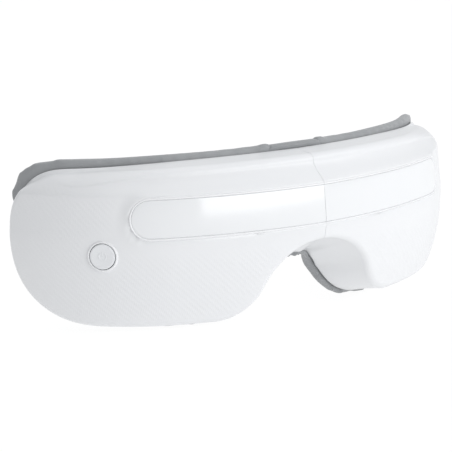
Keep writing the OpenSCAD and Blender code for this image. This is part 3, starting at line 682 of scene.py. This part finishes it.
# Section of the frame: place across it, in half widths, and depth in millimetres
FRAME_HALF = 0.62
FRAME_SECTION = [
    (-0.95, 0.9), (-0.88, -0.86), (-0.70, -1.0), (-0.48, -1.13), (-0.2, -1.18), (0.12, -1.12),
    (0.38, -0.92), (0.55, -0.62), (0.72, -0.3), (1.0, 0.0), (1.15, 0.6),
]
# Edge of the insert: distance in from its outline, and depth
INSERT_EDGE = [(0, 0.6), (0, -0.84), (0.05, -0.90), (0.14, -0.93), (0.5, -0.95)]
INSERT_FACE, INSERT_CROWN, INSERT_ROWS = -0.97, 0.06, 8


def band_frame(side):
    """Raised rim with a rounded section and a soft outer foot."""
    outline = stadium(BAND_H / 2 - FRAME_W / 2)
    rings = []
    for offset, depth in FRAME_SECTION:
        s = outline[:, 0] + outline[:, 2] * offset * FRAME_HALF
        z = outline[:, 1] + outline[:, 3] * offset * FRAME_HALF
        rings.append(on_sheet(s, z, face(s, z) + depth, side))
    rings = np.array(rings)
    rows, columns = rings.shape[:2]
    points = rings.reshape(-1, 3)
    faces = grid_faces(rows, columns, wrap_rows=True)
    faces.append(tuple(i * columns for i in range(rows)))
    faces.append(tuple(i * columns + columns - 1 for i in range(rows))[::-1])
    obj = new_object(f"{NAME[side]}_band_rim", points, faces, side, [RIM_WHITE])
    tidy(obj)
    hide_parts(f"{NAME[side]}_band_frame")


def band_insert(side):
    """Glossy insert with a fine bevel, slightly crowned."""
    outer = BAND_H / 2 - FRAME_W + 0.02
    rings = []
    for inset, depth in INSERT_EDGE:
        outline = stadium(outer - inset)
        s, z = outline[:, 0], outline[:, 1]
        rings.append(on_sheet(s, z, face(s, z) + depth, side))
    s_last, z_last = s, z
    for share in np.linspace(0, 1, INSERT_ROWS + 1)[1:]:
        s = s_last + (np.minimum(s_last, BAND_BEND) - s_last) * share
        z = z_last + (SPINE_Z - z_last) * share
        crown = INSERT_CROWN * math.sin(share * math.pi / 2)
        rings.append(on_sheet(s, z, face(s, z) + INSERT_FACE - crown, side))
    faces = grid_faces(len(rings), len(s_last))
    obj = new_object(f"{NAME[side]}_band_insert", np.concatenate(rings), faces, side, [BAND_GLOSS])
    tidy(obj, 3e-6)
    with editing(obj) as bm:
        open_edges = [e for e in bm.edges if e.is_boundary]
        bmesh.ops.holes_fill(bm, edges=open_edges, sides=0)
        bmesh.ops.recalc_face_normals(bm, faces=bm.faces)
        sharpen(bm)
    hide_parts(f"{NAME[side]}_band")


# ---- Button ----

# Sections as (radius, depth): the dished cap, its stem, and the ring around it
CAP_TOP, CAP_R, CAP_DEPTH = -0.70, BUTTON_R - 0.14, 1.4
CAP_DISH = [
    (0.01, 0.16), (1.0, 0.155), (2.0, 0.13), (3.0, 0.09), (3.8, 0.04), (4.35, 0.0), (4.62, 0.05),
    (CAP_R - 0.06, 0.18), (CAP_R, 0.40),
]
STEM = [(2.0, 1.3), (2.0, 5.8), (1.6, 6.1), (0.3, 6.1)]
RING_IN, RING_DEPTH = BUTTON_R + 0.12, 3.0
RING_SECTION = [
    (RING_IN, RING_DEPTH), (RING_IN, -0.30), (5.20, -0.46), (5.38, -0.55), (5.60, -0.50),
    (5.76, -0.34), (RING_R + 0.02, -0.12), (5.90, 0.10), (6.05, 0.28), (RING_R, RING_DEPTH),
    (RING_IN, RING_DEPTH),
]
# Standby sign: radius of its arc, the angles where the arc starts and ends, and its bar
SIGN_R, SIGN_START, SIGN_END, SIGN_STEPS = 1.45, 125, 415, 40
BAR_LOW, BAR_STEP, BAR_STEPS = 0.35, 0.3, 6
BEAD_HALF = 0.27
BEAD_SECTION = [(-1, 0.12), (-0.8, -0.06), (0, -0.12), (0.8, -0.06), (1, 0.12)]


def turned(name, profile, s, z, side, body, material, segments=96):
    """A piece of revolution about the sheet's normal at (s, z); profile is a list of (radius, b)."""
    centre = on_sheet(s, z, 0.0, side)
    inward = on_sheet(s, z, 1.0, side) - centre
    inward = inward / np.linalg.norm(inward)
    up = np.array([0.0, 0.0, 1.0])
    across = np.cross(up, inward)
    points = []
    for radius, b in profile:
        for k in range(segments):
            a = 2 * math.pi * k / segments
            outward = across * math.cos(a) + up * math.sin(a)
            points.append(centre + inward * b * MM + outward * radius * MM)
    faces = grid_faces(len(profile), segments, wrap_columns=True)
    closed = profile[0] != profile[-1]
    if closed:
        faces.append(tuple(range(segments)))
        faces.append(tuple(range((len(profile) - 1) * segments, len(profile) * segments))[::-1])
    obj = new_object(name, points, faces, body, [material])
    tidy(obj)
    return obj, centre, inward, across, up


def button():
    """Cap with its stem and sign on the button's body, and the ring on the left pod."""
    dish = [(radius, CAP_TOP + depth) for radius, depth in CAP_DISH]
    dish += [(CAP_R, CAP_DEPTH), (0.5, CAP_DEPTH)]
    place = BUTTON_S, BUTTON_Z, LEFT
    cap, centre, inward, across, up = turned(
        "button_cap", dish, *place, "power_button", BUTTON_WHITE)
    turned("button_stem", STEM, *place, "power_button", WHITE_NYLON, 48)
    rim, *_ = turned("button_bezel", RING_SECTION, *place, "left_pod", RIM_WHITE)
    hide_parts("power_button")
    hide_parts("button_ring")
    symbol(centre, inward, across, up, CAP_TOP + 0.12)


def symbol(centre, inward, across, up, b):
    """A raised generic standby sign: an open arc with a bar in the gap."""
    points, faces = [], []
    sides = len(BEAD_SECTION)

    def bead(path):
        """A rounded strip along a path of (across, up) places and directions."""
        start = len(points)
        for a, c, ta, tc in path:
            for offset, height in BEAD_SECTION:
                wide = offset * BEAD_HALF
                points.append(centre + across * (a - tc * wide) * MM + up * (c + ta * wide) * MM
                              + inward * (b + height) * MM)
        grid = grid_faces(len(path), sides, wrap_columns=True)
        faces.extend([tuple(start + v for v in f) for f in grid])
        last = start + (len(path) - 1) * sides
        faces.append(tuple(start + k for k in range(sides))[::-1])
        faces.append(tuple(last + k for k in range(sides)))

    arc = []
    for degrees in np.linspace(SIGN_START, SIGN_END, SIGN_STEPS):
        a = math.radians(degrees)
        arc.append((SIGN_R * math.cos(a), SIGN_R * math.sin(a), -math.sin(a), math.cos(a)))
    bead(arc)
    bead([(0, BAR_LOW + BAR_STEP * k, 0, 1) for k in range(BAR_STEPS)])
    obj = new_object("button_symbol", points, faces, "power_button", [BUTTON_WHITE])
    tidy(obj)


# ---- Cushions ----

def copy_of(node_name, name, material, scale=1.0):
    """A new object with the CAD node's mesh, scaled about its middle."""
    source = frame["nodes"][node_name]
    mesh = source.data.copy()
    mesh.name = name
    mesh.materials.clear()
    mesh.materials.append(material)
    low, high = (Vector(v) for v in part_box(node_name))
    middle = (low + high) / 2
    mesh.transform(Matrix.Translation(middle) @ Matrix.Scale(scale, 4) @ Matrix.Translation(-middle))
    obj = bpy.data.objects.new(name, mesh)
    bpy.context.scene.collection.objects.link(obj)
    return obj


def apply_modifiers(obj):
    """Puts the shape that the modifiers give into the mesh, and drops them."""
    depsgraph = bpy.context.evaluated_depsgraph_get()
    mesh = bpy.data.meshes.new_from_object(obj.evaluated_get(depsgraph))
    obj.modifiers.clear()
    old = obj.data
    obj.data = mesh
    bpy.data.meshes.remove(old)


def remesh(obj, size):
    modifier = obj.modifiers.new("remesh", "REMESH")
    modifier.mode = "VOXEL"
    modifier.voxel_size = size
    apply_modifiers(obj)


def soften(obj, factor, times):
    modifier = obj.modifiers.new("soften", "SMOOTH")
    modifier.factor = factor
    modifier.iterations = times
    apply_modifiers(obj)


SWELL_FRAMES = 14


def inflate(obj, pressure, cap):
    """Swells the mesh with cloth; no point moves by more than cap metres."""
    start = np.array([v.co for v in obj.data.vertices])
    cloth = obj.modifiers.new("cloth", "CLOTH")
    settings = cloth.settings
    settings.quality = 5
    settings.mass = 0.2
    settings.tension_stiffness = 12
    settings.compression_stiffness = 12
    settings.bending_stiffness = 1.5
    settings.use_pressure = True
    settings.uniform_pressure_force = pressure
    settings.effector_weights.gravity = 0
    cloth.point_cache.frame_start = 1
    cloth.point_cache.frame_end = SWELL_FRAMES
    for step in range(1, SWELL_FRAMES + 1):
        bpy.context.scene.frame_set(step)
    apply_modifiers(obj)
    bpy.context.scene.frame_set(1)
    end = np.array([v.co for v in obj.data.vertices])
    move = end - start
    length = np.linalg.norm(move, axis=1, keepdims=True)
    move *= np.minimum(1, cap / np.maximum(length, 1e-9))
    obj.data.vertices.foreach_set("co", (start + move).ravel())
    obj.data.update()


def subdivide(obj):
    modifier = obj.modifiers.new("subdivision", "SUBSURF")
    modifier.levels = 1
    modifier.render_levels = 1
    apply_modifiers(obj)


def mirrored(obj, name):
    """A new object that mirrors obj about the seam plane."""
    mesh = obj.data.copy()
    mesh.transform(Matrix.Scale(-1, 4, (1, 0, 0)))
    mesh.flip_normals()
    other = bpy.data.objects.new(name, mesh)
    bpy.context.scene.collection.objects.link(other)
    return other


def pair(right, left_name, node_name):
    """Mirrors the right piece, and puts both in the place of their CAD nodes."""
    for polygon in right.data.polygons:
        polygon.use_smooth = True
    left = mirrored(right, left_name)
    for side, obj in ((RIGHT, right), (LEFT, left)):
        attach(obj, BODY[side])
        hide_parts(f"{NAME[side]}_{node_name}")


# Soft pieces: size of the remesh cells in metres, and the scale of the eye covers
PAD_VOXEL, COVER_VOXEL, COVER_SCALE = 0.0018, 0.0009, 1.045
# Swelling of the cushions: pressure of the cloth, and the furthest a point may move in metres
SWELL_PRESSURE, SWELL_CAP = 4.0, 0.0008
# Lift of a cushion's lower edge in metres; it grows over a range of x and fades over one of z
LIFT, LIFT_X, LIFT_Z = 0.0014, (0.050, 0.062), (0.006, 0.014)


def cushions():
    """Face cushions, swollen by a short cloth simulation."""
    right = copy_of("right_face_pad", "right_cushion", PAD_GREY)
    remesh(right, PAD_VOXEL)
    soften(right, 0.5, 9)
    inflate(right, SWELL_PRESSURE, SWELL_CAP)
    soften(right, 0.5, 3)
    for vertex in right.data.vertices:
        outer = smooth(*LIFT_X, vertex.co.x) * (1 - smooth(*LIFT_Z, vertex.co.z))
        vertex.co.z += LIFT * outer
    subdivide(right)
    pair(right, "left_cushion", "face_pad")


def eye_covers():
    """Covers of the eye openings, a little wider than in the CAD to meet the soft cushions."""
    right = copy_of("right_eye_cover", "right_eye_cushion", COVER_CLOTH, COVER_SCALE)
    remesh(right, COVER_VOXEL)
    soften(right, 0.5, 4)
    pair(right, "left_eye_cushion", "eye_cover")


# Skin over the nose: its reach along s on each side, its columns and rows, the depth of its back
# at the seam, the thickness it has behind the hinge, where the cushions start to cover its ends,
# and how far its top is tucked down and its bottom raised there
SKIN_REACH, SKIN_COLUMNS, SKIN_ROWS = 15.5, 73, 17
SKIN_BACK, SKIN_FILM = 23.8, 1.5
SKIN_OVERLAP_S, SKIN_TUCK, SKIN_RAISE = 12.5, 1.5, 0.8


def skin_profile(s, wrinkle):
    """Places (z, b) around the skin's section: up the back, over the top and down the front."""
    covered = smooth(SKIN_OVERLAP_S, SKIN_REACH, s)
    low = low_edge(s, -LOW_FLARE - PAD_PROUD + 0.3) - arch_drop(s) + SKIN_RAISE * covered
    high = high_edge(s, -HIGH_FLARE - PAD_PROUD + 0.1) - SKIN_TUCK * covered

    def back(z):
        """Depth of the face side, level with the cushions at the skin's ends."""
        pad = np.minimum(rear(SKIN_REACH, z) + 5.2, HINGE_Y + 8.6)
        return SKIN_BACK + (pad - SKIN_BACK) * smooth(0, SKIN_REACH, s)

    def front(z):
        """Depth of the shell side, which thins to a film where the hinge needs room."""
        hinge = smooth(4.0, 8.0, z) * (1 - smooth(23.5, 26.5, z)) * (1 - smooth(8, 11.5, s))
        flush = rear(s, z) + 0.45
        return flush + (back(z) - SKIN_FILM - flush) * hinge

    mid_high = (back(high) + front(high)) / 2
    mid_low = (back(low) + front(low)) / 2
    profile = []
    for t in np.linspace(0.04, 0.95, SKIN_ROWS):
        z = low + (high - low) * t
        profile.append((z, back(z)))
    profile.append((high - 0.35, back(high) - 0.7))
    profile.append((high, mid_high + 0.8))
    profile.append((high - 0.05, mid_high - 0.8))
    profile.append((high - 0.6, front(high) + 0.3))
    for t in np.linspace(0.94, 0.06, SKIN_ROWS):
        z = low + (high - low) * t
        profile.append((z, front(z)))
    profile.append((low + 0.5 + wrinkle, front(low) + 0.3))
    profile.append((low + wrinkle, mid_low - 0.9))
    profile.append((low + 0.1 - wrinkle, mid_low + 0.9))
    profile.append((low + 0.5, back(low) - 0.4))
    return profile


def bridge_skin():
    """Soft skin that joins the two cushions behind the seam, with small wrinkles along its lower edge
    near the seam.
    """
    across = np.linspace(-SKIN_REACH, SKIN_REACH, SKIN_COLUMNS)
    s = np.abs(across)
    wrinkle = 0.45 * np.sin(across * 2.3) * (1 - smooth(3, 8, s))
    rings = []
    for z, b in skin_profile(s, wrinkle):
        right = on_sheet(s, z, b, RIGHT)
        left = on_sheet(s, z, b, LEFT)
        rings.append(np.where((across < 0)[:, None], left, right))
    points = np.array(rings)
    rows, columns = points.shape[:2]
    faces = grid_faces(rows, columns, wrap_rows=True)
    faces.append(tuple(i * columns for i in range(rows)))
    faces.append(tuple(i * columns + columns - 1 for i in range(rows))[::-1])
    obj = new_object("bridge_skin", points.reshape(-1, 3), faces, None, [SKIN_GREY])
    tidy(obj)
    subdivide(obj)
    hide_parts("left_nose_flap", "right_nose_flap")
    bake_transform(obj)


# ---- Stage ----

FLOOR_HALF, FLOOR_GLOW = 6.0, 1.06
# Share of the floor that glows for every ray, and what the camera sees on top of it
GLOW_SHARE, GLOW_SEEN = 0.65, 0.25
# Room light, brightest where it comes from BRIGHT_X of the way to the right
ROOM_LIGHT, ROOM_DIM, BRIGHT_X, DIM_REACH = 0.975, 0.35, 0.25, 1.25
ROOM_COLOUR = (0.975, 0.985, 1, 1)
LAMP_TARGET = Vector((0, 0, 0.04))
# Soft lamps: name, place, width, height and power
LAMPS = [
    ("key", (0.75, -0.80, 0.60), 0.9, 0.7, 1.9),
    ("band_box", (0.22, -1.10, 0.20), 0.9, 0.45, 2.9),
    ("top", (0.2, 0.1, 1.1), 1.0, 0.8, 0.9),
]


def floor():
    """Pale floor that glows softly, so that it stays even around the mask."""
    h = FLOOR_HALF
    corners = [(-h, -h, 0), (h, -h, 0), (h, h, 0), (-h, h, 0)]
    plane = new_object("floor", corners, [(0, 1, 2, 3)], None, [])
    material, nodes, links, shader = new_material(
        "floor_paint", (0.75, 0.76, 0.78), 0.8, specular=0.0)
    glow = node(nodes, "ShaderNodeEmission", Strength=FLOOR_GLOW)
    mix = nodes.new("ShaderNodeMixShader")
    camera_ray = nodes.new("ShaderNodeLightPath").outputs["Is Camera Ray"]
    seen = maths(nodes, links, "MULTIPLY", camera_ray, GLOW_SEEN)
    share = maths(nodes, links, "ADD", seen, GLOW_SHARE)
    links.new(share, mix.inputs[0])
    links.new(shader.outputs[0], mix.inputs[1])
    links.new(glow.outputs[0], mix.inputs[2])
    links.new(mix.outputs[0], nodes["Material Output"].inputs["Surface"])
    plane.data.materials.append(material)


def room():
    """Soft room light from the right, behind an even white backdrop."""
    world = bpy.data.worlds.new("studio")
    bpy.context.scene.world = world
    world.use_nodes = True
    nodes, links = world.node_tree.nodes, world.node_tree.links
    light = nodes["Background"]
    light.inputs["Color"].default_value = ROOM_COLOUR
    aim = nodes.new("ShaderNodeSeparateXYZ")
    links.new(nodes.new("ShaderNodeTexCoord").outputs["Generated"], aim.inputs[0])
    from_bright = maths(nodes, links, "SUBTRACT", aim.outputs["X"], BRIGHT_X)
    off = maths(nodes, links, "ABSOLUTE", from_bright)
    strength = node(nodes, "ShaderNodeMapRange")
    strength.inputs["From Max"].default_value = DIM_REACH
    strength.inputs["To Min"].default_value = ROOM_LIGHT
    strength.inputs["To Max"].default_value = ROOM_DIM * ROOM_LIGHT
    links.new(off, strength.inputs["Value"])
    links.new(strength.outputs["Result"], light.inputs["Strength"])
    backdrop = node(nodes, "ShaderNodeBackground", Strength=1.0)
    backdrop.inputs["Color"].default_value = (1, 1, 1, 1)
    mix = nodes.new("ShaderNodeMixShader")
    links.new(nodes.new("ShaderNodeLightPath").outputs["Is Camera Ray"], mix.inputs[0])
    links.new(light.outputs[0], mix.inputs[1])
    links.new(backdrop.outputs[0], mix.inputs[2])
    links.new(mix.outputs[0], nodes["World Output"].inputs["Surface"])


def lamps():
    """Soft rectangular lamps, all aimed at the middle of the mask."""
    for name, place, wide, tall, power in LAMPS:
        light = bpy.data.lights.new(name, "AREA")
        light.shape = "RECTANGLE"
        light.size, light.size_y = wide, tall
        light.energy = power
        obj = bpy.data.objects.new(name, light)
        obj.location = place
        obj.rotation_euler = (LAMP_TARGET - Vector(place)).to_track_quat("-Z", "Y").to_euler()
        bpy.context.scene.collection.objects.link(obj)


# Camera: its distance from the seam, the direction it stands in, the direction it faces, and
# its lens in millimetres on a sensor of the given width
CAMERA_REACH, CAMERA_SWING, CAMERA_LIFT = 0.6251, math.radians(-36.61), math.radians(12.18)
CAMERA_TURN, CAMERA_TILT = math.radians(-33.02), math.radians(12.16)
CAMERA_ROLL = math.radians(-1.63)
CAMERA_LENS, CAMERA_SENSOR = 128.9, 36


def outward_from(turn, lift):
    """Unit direction that points away from the front, turned about z and lifted."""
    level = math.cos(lift)
    return Vector((math.sin(turn) * level, -math.cos(turn) * level, math.sin(lift)))


def camera():
    """Camera in front of the left pod, a little above it and turned slightly off the mask."""
    seam = Vector((0, ORIGIN_Y, ORIGIN_Z))
    right = Vector((math.cos(CAMERA_TURN), math.sin(CAMERA_TURN), 0))
    back = outward_from(CAMERA_TURN, CAMERA_TILT)
    up = back.cross(right)
    across = right * math.cos(CAMERA_ROLL) + up * math.sin(CAMERA_ROLL)
    above = up * math.cos(CAMERA_ROLL) - right * math.sin(CAMERA_ROLL)
    data = bpy.data.cameras.new("camera")
    data.lens = CAMERA_LENS
    data.sensor_width = CAMERA_SENSOR
    data.clip_start = 0.01
    obj = bpy.data.objects.new("camera", data)
    matrix = Matrix((across, above, back)).transposed().to_4x4()
    matrix.translation = seam + CAMERA_REACH * outward_from(CAMERA_SWING, CAMERA_LIFT)
    obj.matrix_world = matrix
    bpy.context.scene.collection.objects.link(obj)
    bpy.context.scene.camera = obj


finish_cad_nodes()
for pod in (RIGHT, LEFT):
    shell(pod)
    band_frame(pod)
    band_insert(pod)
button()
cushions()
eye_covers()
bridge_skin()
floor()
room()
lamps()
camera()
bpy.context.scene.view_settings.view_transform = "Standard"
